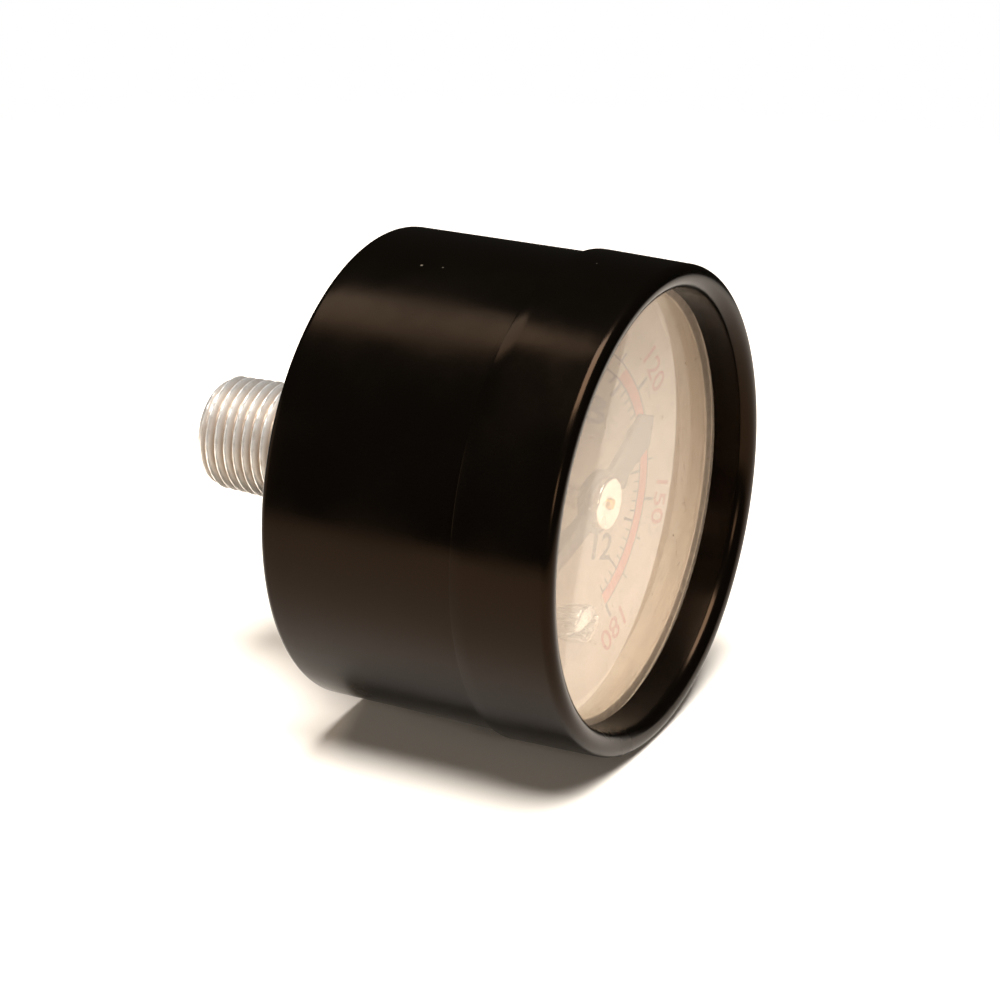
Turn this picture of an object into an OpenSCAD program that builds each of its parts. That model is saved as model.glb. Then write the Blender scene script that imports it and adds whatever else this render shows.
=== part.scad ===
// Back-entry pressure gauge, 41 mm case, 1/8 in taper pipe stem.
// The stem runs along +Y, the dial faces -Y and its 12 o'clock is +Z.
// The origin is on the axis where the stem's thread meets its wrench flats.
// Inside each module x is to the right, y is up and z is towards the reader,
// with z = 0 on the back face of the case; seat() turns that into the row frame.

/* [Case] */
// Outside radius of the case at its back
case_r = 20.5; // [20.4:0.05:20.6]
// Outside radius of the case where the bezel begins
case_step_r = 20.6; // [20.55:0.01:20.61]
// Sheet thickness of the case wall
case_t = 0.6; // [0.5:0.05:0.65]
// Thickness of the case back
back_t = 0.7; // [0.5:0.1:0.7]
// Radius of the rear corner
case_corner_r = 0.6; // [0.3:0.1:1]
// Radius of the hole that the socket passes through
case_hole_r = 7.4; // [7.3:0.1:7.6]

/* [Bezel] */
// Distance from the case back to the rear edge of the bezel
bezel_start = 17.84; // [17.2:0.02:18.2]
// Distance from the case back to the crest of the bezel
bezel_crest = 26.7; // [26.2:0.02:27.2]
// Outside radius of the bezel at its rear edge
bezel_rear_r = 21.04; // [21.04:0.01:21.15]
// Outside radius of the bezel at its front corner
bezel_front_r = 20.9; // [20.9:0.01:20.95]
// Sheet thickness of the bezel
bezel_t = 0.42; // [0.3:0.02:0.42]
// Radius of the outer front corner
bezel_corner_r = 0.9; // [0.7:0.02:1.1]
// Radius of the window inside the bezel
window_r = 18.75; // [18.6:0.05:18.9]

/* [Dial and lens] */
// Distance from the case back to the printed face of the dial
dial_face = 17.8; // [17.6:0.1:18]
// Thickness of the dial
dial_t = 0.5; // [0.4:0.1:0.6]
// Radius of the dial, the spacer ring and the lens
dial_r = 19.6; // [19.4:0.05:19.75]
// Distance from the case back to the inner face of the lens
lens_back = 21.3; // [21.3:0.1:21.6]
// Distance from the case back to the outer face of the lens
lens_front = 23.2; // [23:0.1:23.4]
// Thickness of the lens gasket
gasket_t = 0.5; // [0.3:0.1:0.6]
// Inside radius of the spacer ring
spacer_inner_r = 18.4; // [18.2:0.05:18.6]
// Radius of the circle that the dial screws lie on
dial_screw_pitch_r = 11.5; // [11.4:0.1:11.8]
// Radius of a dial screw's head
dial_screw_head_r = 1.6; // [1.6:0.1:2.2]

/* [Pointer] */
// Length of the needle from the centre
needle_len = 12.8; // [11:0.1:14]
// Width of the needle next to the boss
needle_w = 2.2; // [1.6:0.1:2.6]
// Length of the tail from the centre
tail_len = 10.5; // [8:0.1:11]
// Width of the tail near its end
tail_w = 3.5; // [3:0.1:4.2]
// Radius of the pointer's boss
boss_r = 2.7; // [2.4:0.1:3]
// Radius of the bright hub disc
hub_r = 2.2; // [1.8:0.1:2.4]

/* [Stem] */
// Mean outside radius of the taper pipe thread
thread_r = 5.15; // [5:0.01:5.2]
// Length of the threaded stem
thread_len = 10.3; // [9:0.1:12]
// Width across the wrench flats
flats_w = 11.1; // [10:0.1:12]
// Distance from the thread to the case back
flats_len = 6; // [5:0.5:8]
// Radius of the pressure inlet
inlet_r = 1.5; // [1:0.1:1.6]

/* [Bourdon tube] */
// Radius of the tube's centre line
tube_r = 15; // [14.8:0.1:15.2]
// Height of the flattened tube along the gauge's axis
tube_h = 5; // [4.5:0.1:5.2]
// Width of the flattened tube across its bend
tube_w = 1.9; // [1.7:0.1:2]
// Wall of the tube
tube_wall = 0.25; // [0.2:0.05:0.3]

/* [Gear train] */
// Gear module
gear_m = 0.2; // [0.2:0.01:0.2]
// Teeth on the pinion
pinion_teeth = 12; // [12:1:12]
// Teeth that the sector would have as a full wheel
sector_teeth = 96; // [96:1:96]
// Distance from the sector's pivot to its link pin
tail_arm = 4; // [4:0.1:4]

/* [Hidden] */

$fn = 96;
cut = 1;             // how far a cutting shape runs past what it cuts
run_gap = 0.04;      // radial clearance of a running fit
seat_gap = 0.05;     // clearance of a soldered or loose seat

// Directions across the dial, counter-clockwise from 3 o'clock
sector_dir = 205;    // centre to the sector's pivot
arm_dir = 115;       // centre to the upper dial post and the tube's root
zero_dir = -135;     // pointer at zero pressure
tip_dir = 219;       // centre to the tube's tip
sector_swing = 33.75;

// Places across the dial
centre_distance = gear_m * (pinion_teeth + sector_teeth) / 2;
sector_at = centre_distance * [cos(sector_dir), sin(sector_dir)];
tail_dir = sector_dir - sector_swing / 2;
link_at = sector_at + tail_arm * [cos(tail_dir), sin(tail_dir)];
tip_at = tube_r * [cos(tip_dir), sin(tip_dir)];
along = [cos(sector_dir), sin(sector_dir)];
across = [cos(arm_dir), sin(arm_dir)];
row_at = -2.8 * along;
row_w = 3.6;         // width of the bar between the two outer pillars
pillar_at = [row_at + 7 * across, row_at - 7 * across, sector_at + 3.6 * across];
movement_screw_at = [row_at + 4 * across, row_at - 4 * across];
stud_r = 5;
stud_dir = arm_dir - 180 + 26;
strip_t = 0.12;
peg_r = 0.65;

// Heights above the case back
block_top = 8.5;
plate_t = 0.8;
front_plate_z = 14;
tube_z = 5.4;
link_z = 9.8;
link_t = 0.6;
sector_z = 10.6;
sector_t = 0.8;
pinion_z = 10.3;
pinion_w = 1.4;
spring_z = 12.4;
spring_h = 0.6;
pointer_z = 19.8;
pointer_t = 0.35;
hub_top = 20.8;
arbor_end = 21;

// Sizes of small parts
neck_r = 7.2;
flange_r = 9;
flange_t = 2;
boss_block_r = 6.5;
arm_w = 6;
arm_end = 17;
short_arm_end = 13.4;
post_r = 1.3;
stud_screw_r = 0.9;
case_screw_pitch_r = 10.2;
case_screw_r = 1;
case_screw_head_r = 1.9;
case_screw_head_h = 1.1;
cross_r = 0.8;
pivot_r = 0.4;
arbor_r = 0.6;
arbor_tip_r = 0.45;
taper_start = 18.9;
dial_hole_r = 2;
pillar_r = 1.1;
pin_r = 0.6;
eye_r = 1.3;
crest_in_r = bezel_front_r - bezel_corner_r - window_r;
corner_z = bezel_crest - bezel_corner_r;
root_half = asin(arm_w / 2 / tube_r);
tip_half = 8;
tube_end = tip_dir - 360 + 3.5;
tube_root = arm_dir - 4;

// Turns a module's x, y, z into the row frame
module seat() { rotate([90, 0, 0]) translate([0, 0, flats_len]) children(); }

// Moves a child to a place across the dial and a height above the case back
module at(p, z) { translate([p.x, p.y, z]) children(); }

// Disc or rod from height z0 to height z1
module rod(r, z0, z1) { translate([0, 0, z0]) cylinder(r = r, h = z1 - z0); }

// Flat outline of a bar with round ends from p to q
module bar2d(p, q, w) {
    d = q - p;
    translate(p) circle(r = w / 2);
    translate(q) circle(r = w / 2);
    translate(p) rotate(atan2(d.y, d.x)) translate([0, -w / 2]) square([norm(d), w]);
}

// Points of an arc about c
function arc(c, r, a0, a1, n = 12) =
    [for (i = [0:n]) c + r * [cos(a0 + (a1 - a0) * i / n), sin(a0 + (a1 - a0) * i / n)]];

// Screw with a slotted pan head, standing on its head's seat at z = 0
module pan_screw(head_r, head_h, shank_r, shank_len, slot_w) {
    difference() {
        union() {
            cylinder(r = head_r, h = head_h * 0.6);
            translate([0, 0, head_h * 0.6]) cylinder(r1 = head_r, r2 = head_r * 0.72, h = head_h * 0.4);
            translate([0, 0, -shank_len]) cylinder(r = shank_r, h = shank_len);
        }
        translate([-head_r - cut, -slot_w / 2, head_h * 0.5]) cube([2 * head_r + 2 * cut, slot_w, head_h]);
    }
}

// Involute gear outline: angle from the start of the involute at radius r
function inv_angle(rb, r) = let (t = sqrt(max(0, pow(r / rb, 2) - 1))) t * 180 / PI - atan(t);
function polar(r, a) = r * [cos(a), sin(a)];
gear_pa = 25;
gear_backlash = 0.03;

// Outline of one tooth on the +x axis, from inside the root circle to the tip
function tooth(n) =
    let (rp = gear_m * n / 2, rb = rp * cos(gear_pa), rt = rp + gear_m, rr = rp - 1.25 * gear_m,
         half = 90 / n - gear_backlash / 4 / rp * 180 / PI + inv_angle(rb, rp),
         r0 = max(rb, rr), steps = 6,
         side = [for (i = [0:steps]) let (r = r0 + (rt - r0) * i / steps) [r, half - inv_angle(rb, r)]])
    concat([polar(rr * 0.9, -half)], [for (p = side) polar(p[0], -p[1])],
           [for (i = [steps:-1:0]) polar(side[i][0], side[i][1])], [polar(rr * 0.9, half)]);

// Ring-shaped wall of the flattened tube, grown by g, from angle a0 to a1
module tube_wall_ring(g, a0, a1, hollow = false) {
    core_h = tube_h - tube_w;
    w = hollow ? tube_w / 2 - tube_wall : tube_w / 2 + g;
    translate([0, 0, tube_z]) rotate(a0) rotate_extrude(angle = a1 - a0) translate([tube_r, 0]) {
        translate([-w, -core_h / 2]) square([2 * w, core_h]);
        translate([0, core_h / 2]) circle(r = w, $fn = 32);
        translate([0, -core_h / 2]) circle(r = w, $fn = 32);
    }
}

// Outline shared by both plates of the movement: a T with a foot
module plate2d() {
    bar2d(pillar_at[0], pillar_at[1], row_w);
    bar2d(row_at, sector_at, 4.6);
    bar2d(sector_at, pillar_at[2], 3.2);
}

// Deep-drawn steel cup with the socket's hole and two screw holes in its back
module case() {
    front_z = 24;
    slope = (bezel_front_r - bezel_rear_r) / (corner_z - bezel_start);
    front_r = case_step_r + slope * (front_z - bezel_start);
    outer = concat([[0, 0]], arc([case_r - case_corner_r, case_corner_r], case_corner_r, -90, 0),
                   [[case_step_r, bezel_start], [front_r, front_z]]);
    inner = [[front_r - case_t, front_z], [case_step_r - case_t, bezel_start],
             [case_r - case_t, back_t + 0.4], [case_r - case_t - 0.4, back_t], [0, back_t]];
    color("#15120f") seat() difference() {
        rotate_extrude($fn = 180) polygon(concat(outer, inner));
        rod(case_hole_r, -cut, back_t + cut);
        for (s = [1, -1]) at(s * case_screw_pitch_r * across, 0) rod(case_screw_r + 0.2, -cut, back_t + cut);
    }
}

// Pressed-on steel ring, rolled over its front and back down to the lens
module bezel_ring() {
    outer_c = [bezel_front_r - bezel_corner_r, corner_z];
    inner_c = [outer_c.x, bezel_crest - crest_in_r];
    outside = concat([[bezel_rear_r, bezel_start]], arc(outer_c, bezel_corner_r, 0, 90, 16),
                     arc(inner_c, crest_in_r, 90, 180), [[window_r, lens_front]]);
    inside = concat([[window_r + bezel_t, lens_front]],
                    arc(inner_c, crest_in_r - bezel_t, 180, 90),
                    arc(outer_c, bezel_corner_r - bezel_t, 90, 0, 16),
                    [[bezel_rear_r - bezel_t, bezel_start]]);
    color("#0f0d0c") seat() rotate_extrude($fn = 180) polygon(concat(outside, inside));
}

// Clear disc with a small chamfer on both edges
module lens() {
    chamfer = 0.25;
    color("#dfe6e6", 0.35) seat() rotate_extrude($fn = 180) polygon([
        [0, lens_back], [dial_r - chamfer, lens_back], [dial_r, lens_back + chamfer],
        [dial_r, lens_front - chamfer], [dial_r - chamfer, lens_front], [0, lens_front]]);
}

// Flat ring under the lens
module lens_gasket() {
    color("#c9c4ba") seat() difference() {
        rod(dial_r, lens_back - gasket_t, lens_back);
        rod(spacer_inner_r - 0.15, lens_back - gasket_t - cut, lens_back + cut);
    }
}

// White ring that holds the dial down and the lens off it
module spacer_ring() {
    color("#efe9df") seat() difference() {
        rod(dial_r, dial_face, lens_back - gasket_t);
        rod(spacer_inner_r, dial_face - cut, lens_back + cut);
    }
}

// Printed dial with its centre hole and two screw holes
module dial_plate() {
    color("#efe6d8") seat() difference() {
        rod(dial_r, dial_face - dial_t, dial_face);
        rod(dial_hole_r, dial_face - dial_t - cut, dial_face + cut);
        for (s = [1, -1]) at(s * dial_screw_pitch_r * across, 0)
            rod(stud_screw_r + 0.15, dial_face - dial_t - cut, dial_face + cut);
    }
}

// Two pan-head screws through the dial into its posts
module dial_screws() {
    color("#c8c8c4") seat() for (s = [1, -1]) at(s * dial_screw_pitch_r * across, dial_face)
        rotate(40) pan_screw(dial_screw_head_r, 1, stud_screw_r - seat_gap, 4, 0.6);
}

// Two posts that stand on the socket and carry the dial
module dial_posts() {
    color("#b08a3e") seat() for (s = [1, -1]) at(s * dial_screw_pitch_r * across, 0) difference() {
        union() {
            rod(post_r, block_top, dial_face - dial_t);
            rod(stud_screw_r - seat_gap, block_top - 1.8, block_top);
        }
        rod(stud_screw_r, dial_face - dial_t - 5, dial_face);
    }
}

// Stem, wrench flats and the block inside the case, in one piece
module socket() {
    thread_end = -flats_len - thread_len;
    chamfer = 1;
    color("#c4c0b8") seat() difference() {
        union() {
            rod(thread_r, thread_end + chamfer, -flats_len);
            translate([0, 0, thread_end]) cylinder(r1 = thread_r - chamfer, r2 = thread_r, h = chamfer);
            intersection() {
                translate([-flats_w / 2, -flats_w / 2, -flats_len]) cube([flats_w, flats_w, flats_len - 0.8]);
                rod(neck_r, -flats_len, 0);
            }
            rod(neck_r, -0.8, back_t);
            rod(flange_r, back_t, back_t + flange_t);
            rod(boss_block_r, back_t, block_top);
            rotate(arm_dir) translate([0, -arm_w / 2, back_t]) cube([arm_end, arm_w, block_top - back_t]);
            rotate(arm_dir + 180) translate([0, -arm_w / 2, back_t])
                cube([short_arm_end, arm_w, block_top - back_t]);
        }
        rod(inlet_r, thread_end - cut, tube_z + 1.2);
        rotate(arm_dir) translate([0, 0, tube_z]) rotate([0, 90, 0]) cylinder(r = cross_r, h = tube_r);
        tube_wall_ring(0, arm_dir - 2 * root_half, arm_dir + 5);
        rod(pivot_r + 0.8, block_top - 0.7, block_top + cut);
        for (s = [1, -1]) {
            at(s * dial_screw_pitch_r * across, 0) rod(stud_screw_r, block_top - 2, block_top + cut);
            at(s * case_screw_pitch_r * across, 0) rod(case_screw_r, -cut, 4);
        }
        for (p = movement_screw_at) at(p, 0) rod(0.8, block_top - 2.2, block_top + cut);
    }
}

// Plug with a fine hole, pressed into the inlet to damp pressure surges
module restrictor() {
    color("#b8923f") seat() difference() {
        rod(inlet_r, -flats_len - thread_len + 1.2, -flats_len - thread_len + 4);
        rod(0.3, -flats_len - thread_len, -flats_len);
    }
}

// Two screws from behind that hold the case to the socket
module case_screws() {
    color("#bdbdb8") seat() for (s = [1, -1]) at(s * case_screw_pitch_r * across, 0)
        mirror([0, 0, 1]) rotate(25)
            pan_screw(case_screw_head_r, case_screw_head_h, case_screw_r - seat_gap, 3.6, 0.5);
}

// Flattened C-shaped tube that unwinds as pressure rises
module bourdon_tube() {
    color("#b87333") seat() difference() {
        tube_wall_ring(0, tube_end, tube_root);
        tube_wall_ring(0, tube_end - 1, tube_root + 1, hollow = true);
    }
}

// Cap soldered on the tube's free end, with a lug for the link
module tube_tip() {
    color("#b08a3e") seat() difference() {
        union() {
            rotate(tip_dir) translate([tube_r - 1.75, -2.1, 2.4]) cube([3.5, 4.2, 6]);
            at(tip_at, 0) rod(1.4, 8, link_z - seat_gap);
        }
        tube_wall_ring(seat_gap, tube_end, tube_end + tip_half);
        at(tip_at, 0) rod(pin_r, 8.6, link_z + cut);
    }
}

// Headed pin that the link swings on at the tube's tip
module tip_rivet() {
    color("#c9a14c") seat() at(tip_at, 0) {
        rod(pin_r, 8.6, link_z + link_t + seat_gap);
        rod(1.1, link_z + link_t + seat_gap, link_z + link_t + 0.45);
    }
}

// Flat bar from the tube's tip to the sector's tail
module link() {
    color("#c9a14c") seat() difference() {
        translate([0, 0, link_z]) linear_extrude(link_t) union() {
            bar2d(tip_at, link_at, 1.5);
            translate(tip_at) circle(r = eye_r);
            translate(link_at) circle(r = eye_r);
        }
        at(tip_at, 0) rod(pin_r + run_gap, link_z - cut, link_z + link_t + cut);
        at(link_at, 0) rod(pin_r, link_z - cut, link_z + link_t + cut);
    }
}

// Double-headed rivet fixed in the link, sliding in the slot of the sector's tail
module link_rivet() {
    color("#c9a14c") seat() at(link_at, 0) {
        rod(1, link_z - 0.4, link_z);
        rod(pin_r, link_z, sector_z + sector_t + 0.1);
        rod(0.9, link_z + link_t, sector_z - seat_gap);
        rod(1, sector_z + sector_t + seat_gap, sector_z + sector_t + 0.45);
    }
}

// Toothed quadrant with two spokes and a slotted tail
module sector_gear() {
    first = -11;
    last = 2;
    pitch = 360 / sector_teeth;
    root_r = gear_m * (sector_teeth / 2 - 1.25);
    a0 = (first - 0.6) * pitch;
    a1 = (last + 0.6) * pitch;
    mesh_dir = sector_dir - 180;
    color("#c6a75a") seat() at(sector_at, sector_z) difference() {
        union() {
            rotate(mesh_dir) {
                for (k = [first:last]) rotate(k * pitch) linear_extrude(sector_t) polygon(tooth(sector_teeth));
                rotate(a0) rotate_extrude(angle = a1 - a0) translate([root_r - 1.3, 0]) square([1.32, sector_t]);
                for (a = [a0 + 5, a1 - 5]) linear_extrude(sector_t)
                    bar2d([0, 0], polar(root_r - 1.2, a), 1.5);
            }
            rotate(tail_dir) linear_extrude(sector_t) bar2d([0, 0], [tail_arm + 0.6, 0], 2.6);
            cylinder(r = 1.9, h = sector_t);
        }
        translate([0, 0, -cut]) cylinder(r = arbor_r, h = sector_t + 2 * cut);
        rotate(tail_dir) translate([0, 0, -cut]) linear_extrude(sector_t + 2 * cut)
            bar2d([tail_arm - 0.5, 0], [tail_arm + 0.5, 0], 2 * (pin_r + seat_gap));
    }
}

// Shaft that the sector is staked to
module sector_arbor() {
    color("#9a9a98") seat() at(sector_at, 0) {
        rod(pivot_r, block_top + 0.1, front_plate_z + plate_t);
        rod(arbor_r, block_top + plate_t + seat_gap, front_plate_z - seat_gap);
        rod(1, sector_z + sector_t, sector_z + sector_t + 0.6);
        rod(1, sector_z - 0.6, sector_z);
    }
}

// Shaft with the pinion, running in both plates and carrying the pointer
module pinion_arbor() {
    n = pinion_teeth;
    color("#c9a14c") seat() {
        rod(pivot_r, block_top - 0.3, block_top + plate_t + 0.1);
        rod(arbor_r, block_top + plate_t + seat_gap, taper_start);
        translate([0, 0, taper_start])
            cylinder(r1 = arbor_r, r2 = arbor_tip_r, h = arbor_end - taper_start);
        translate([0, 0, pinion_z]) rotate(sector_dir + 180 / n) linear_extrude(pinion_w) {
            circle(r = gear_m * (n / 2 - 1.25), $fn = 48);
            for (k = [0:n - 1]) rotate(k * 360 / n) polygon(tooth(n));
        }
        rod(0.95, front_plate_z - 0.5, front_plate_z - seat_gap);
    }
}

// Flat pointer: tapered needle one way, broad blunt tail the other
module pointer() {
    outline = [[0, needle_w / 2], [needle_len - 1, 0.28], [needle_len, 0], [needle_len - 1, -0.28],
               [0, -needle_w / 2], [-2, -1.1], [-tail_len + 1.7, -tail_w / 2], [-tail_len, 0],
               [-tail_len + 1.7, tail_w / 2], [-2, 1.1]];
    color("#262420") seat() rotate(zero_dir) translate([0, 0, pointer_z]) difference() {
        union() {
            linear_extrude(pointer_t) polygon(outline);
            cylinder(r = boss_r, h = pointer_t);
        }
        translate([0, 0, -cut]) cylinder(r = 0.9, h = pointer_t + 2 * cut);
    }
}

// Bright bush that the pointer is riveted to, pressed on the arbor's taper
module pointer_hub() {
    color("#d2d0ca") seat() difference() {
        union() {
            rod(hub_r, pointer_z + pointer_t, hub_top);
            rod(0.9, taper_start + 0.1, pointer_z + pointer_t);
        }
        translate([0, 0, taper_start])
            cylinder(r1 = arbor_r, r2 = arbor_tip_r, h = arbor_end - taper_start);
    }
}

// Flat spiral spring that takes up the play of the gears
module hairspring() {
    turns = 4.5;
    inner_r = 1.32;
    steps = 24 * turns;
    first_dir = stud_dir - 360 * turns;
    function mid(i) = inner_r + (stud_r - inner_r) * i / steps;
    function dir(i) = first_dir + 360 * turns * i / steps;
    color("#b5a36a") seat() translate([0, 0, spring_z]) linear_extrude(spring_h) polygon(concat(
        [for (i = [0:steps]) polar(mid(i) + strip_t / 2, dir(i))],
        [for (i = [steps:-1:0]) polar(mid(i) - strip_t / 2, dir(i))]));
}

// Small bush on the pinion's shaft that holds the spring's inner end
module hairspring_collet() {
    color("#c9a14c") seat() difference() {
        rod(1.2, spring_z - 0.2, spring_z + spring_h + 0.2);
        rod(arbor_r, spring_z - cut, spring_z + spring_h + cut);
        translate([0, -0.15, spring_z - cut]) cube([2, 0.3, spring_h + 2 * cut]);
    }
}

// Peg under the front plate that holds the spring's outer end
module hairspring_stud() {
    color("#c9a14c") seat() at(polar(stud_r + strip_t / 2 + peg_r, stud_dir), 0)
        rod(peg_r, spring_z - 0.3, front_plate_z);
}

// Lower plate of the movement, screwed to the socket
module back_plate() {
    color("#c2a455") seat() difference() {
        translate([0, 0, block_top]) linear_extrude(plate_t) plate2d();
        rod(pivot_r + run_gap, block_top - cut, block_top + plate_t + cut);
        at(sector_at, 0) rod(pivot_r + run_gap, block_top - cut, block_top + plate_t + cut);
        for (p = movement_screw_at) at(p, 0) rod(0.95, block_top - cut, block_top + plate_t + cut);
    }
}

// Upper plate of the movement
module front_plate() {
    color("#c2a455") seat() difference() {
        translate([0, 0, front_plate_z]) linear_extrude(plate_t) plate2d();
        rod(arbor_r + run_gap, front_plate_z - cut, front_plate_z + plate_t + cut);
        at(sector_at, 0) rod(pivot_r + run_gap, front_plate_z - cut, front_plate_z + plate_t + cut);
        for (p = pillar_at) at(p, 0) rod(0.75, front_plate_z - cut, front_plate_z + plate_t + cut);
    }
}

// Three pillars that hold the plates apart
module plate_pillars() {
    color("#b8923f") seat() for (p = pillar_at) at(p, 0) difference() {
        rod(pillar_r, block_top + plate_t, front_plate_z);
        rod(0.6, front_plate_z - 2.4, front_plate_z + cut);
    }
}

// Three screws through the upper plate into the pillars
module plate_screws() {
    color("#a8a8a4") seat() for (p = pillar_at) at(p, front_plate_z + plate_t)
        rotate(30) pan_screw(1.3, 0.7, 0.6 - seat_gap, 3, 0.35);
}

// Two screws through the lower plate into the socket
module movement_screws() {
    color("#a8a8a4") seat() for (p = movement_screw_at) at(p, block_top + plate_t)
        rotate(70) pan_screw(1.4, 0.7, 0.8 - seat_gap, 2.7, 0.35);
}

case();
bezel_ring();
lens();
lens_gasket();
spacer_ring();
dial_plate();
dial_screws();
dial_posts();
socket();
restrictor();
case_screws();
bourdon_tube();
tube_tip();
tip_rivet();
link();
link_rivet();
sector_gear();
sector_arbor();
pinion_arbor();
pointer();
pointer_hub();
hairspring();
hairspring_collet();
hairspring_stud();
back_plate();
front_plate();
plate_pillars();
plate_screws();
movement_screws();
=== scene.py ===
"""Small back-entry pressure gauge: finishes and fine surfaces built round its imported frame.

Gauge coordinates are used throughout: right and up across the dial, and forward along the
axis from the back face of the case, all in millimetres. seat() turns them into the frame.
Angles on the dial are clock angles: degrees clockwise from 12 o'clock.
"""

import logging
import math
from dataclasses import dataclass, field
from enum import Enum

import bmesh
import bpy
import numpy as np
from mathutils import Matrix, Vector


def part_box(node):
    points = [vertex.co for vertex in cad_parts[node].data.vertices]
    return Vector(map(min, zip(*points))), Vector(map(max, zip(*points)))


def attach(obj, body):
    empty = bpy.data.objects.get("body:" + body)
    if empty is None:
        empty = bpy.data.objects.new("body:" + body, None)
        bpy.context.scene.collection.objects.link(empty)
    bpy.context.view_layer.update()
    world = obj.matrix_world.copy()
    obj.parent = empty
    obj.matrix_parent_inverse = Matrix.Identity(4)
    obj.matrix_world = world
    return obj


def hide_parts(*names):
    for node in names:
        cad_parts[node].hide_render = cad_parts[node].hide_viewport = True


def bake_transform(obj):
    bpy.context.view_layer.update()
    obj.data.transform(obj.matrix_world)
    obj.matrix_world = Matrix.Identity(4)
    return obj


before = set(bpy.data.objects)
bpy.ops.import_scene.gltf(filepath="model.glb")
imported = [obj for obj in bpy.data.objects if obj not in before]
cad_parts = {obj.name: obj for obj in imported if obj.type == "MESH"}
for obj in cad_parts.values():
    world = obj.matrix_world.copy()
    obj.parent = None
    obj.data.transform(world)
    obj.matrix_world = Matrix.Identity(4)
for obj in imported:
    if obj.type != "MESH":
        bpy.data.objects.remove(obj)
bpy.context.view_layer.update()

MM = 0.001
CREASE = 32.0  # degrees past which an edge stays sharp
BACK_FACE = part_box("case")[1][1]
LOG = logging.getLogger("gauge")


class Body(str, Enum):
    """The rigid bodies that the new pieces ride on."""

    HOUSING = "housing"
    POINTER = "pointer_arbor"
    TIP = "tip"


def seat(points: np.ndarray) -> np.ndarray:
    """Turn gauge coordinates into the row frame.

    Args:
        points: array (..., 3) of right, up and forward in millimetres.

    Returns:
        The same points in metres: right is +X, up is +Z, and forward is -Y from the case's back.
    """
    right, up, forward = np.moveaxis(np.asarray(points, float) * MM, -1, 0)
    return np.stack([right, BACK_FACE - forward, up], axis=-1)


def clock(angle: float | np.ndarray, radius: float | np.ndarray) -> np.ndarray:
    """Point on the dial: right = r sin(a), up = r cos(a), for a clock angle a in degrees."""
    turn = np.radians(angle)
    return np.stack(np.broadcast_arrays(radius * np.sin(turn), radius * np.cos(turn)), axis=-1)


def height_of(node: str) -> tuple[float, float]:
    """Lowest and highest forward distance of a frame node, in millimetres from the case's back."""
    low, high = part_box(node)
    return (BACK_FACE - high[1]) / MM, (BACK_FACE - low[1]) / MM


# ---------------------------------------------------------------- surfaces


def grid_mesh(
    name: str,
    grid: np.ndarray,
    wrap_rows: bool = False,
    groove: np.ndarray | None = None,
    crease: float = CREASE,
) -> bpy.types.Object:
    """Mesh a grid of points whose columns close on themselves.

    Face (i, j) joins points (i, j), (i, j+1), (i+1, j+1) and (i+1, j). Points that lie on each
    other, as at a pole, are merged, and the faces are turned to look outwards. The groove
    values are written before that, so that each welded point keeps its own.

    Args:
        name: name of the new object.
        grid: array (rows, columns, 3) in gauge coordinates.
        wrap_rows: True where the last row also joins the first, as on a ring.
        groove: array (rows, columns) of values from 0 to 1 for the groove attribute, or None.
        crease: angle in degrees past which an edge stays sharp.

    Returns:
        The object, at the origin, with its place in its mesh.
    """
    rows, columns = grid.shape[:2]
    index = np.arange(rows * columns).reshape(rows, columns)
    below = index if wrap_rows else index[:-1]
    above = np.roll(index, -1, axis=0) if wrap_rows else index[1:]
    quads = np.stack([below, np.roll(below, -1, axis=1), np.roll(above, -1, axis=1), above], axis=-1)
    mesh = bpy.data.meshes.new(name)
    mesh.from_pydata(seat(grid).reshape(-1, 3), [], quads.reshape(-1, 4).tolist())
    if groove is not None:
        values = mesh.attributes.new("groove", "FLOAT", "POINT")
        values.data.foreach_set("value", groove.ravel().astype(np.float32))
    return finished(name, mesh, crease)


def finished(name: str, mesh: bpy.types.Mesh, crease: float = CREASE) -> bpy.types.Object:
    """Weld a mesh, turn its faces outwards, shade it and put it in the scene.

    Args:
        name: name of the new object.
        mesh: the mesh to finish.
        crease: angle in degrees past which an edge stays sharp.

    Returns:
        The object that holds the mesh.
    """
    work = bmesh.new()
    work.from_mesh(mesh)
    bmesh.ops.remove_doubles(work, verts=work.verts, dist=2e-7)
    bmesh.ops.dissolve_degenerate(work, edges=work.edges, dist=1e-8)
    bmesh.ops.recalc_face_normals(work, faces=work.faces)
    work.to_mesh(mesh)
    work.free()
    mesh.shade_smooth()
    mesh.set_sharp_from_angle(angle=math.radians(crease))
    obj = bpy.data.objects.new(name, mesh)
    bpy.context.scene.collection.objects.link(obj)
    return obj


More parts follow.
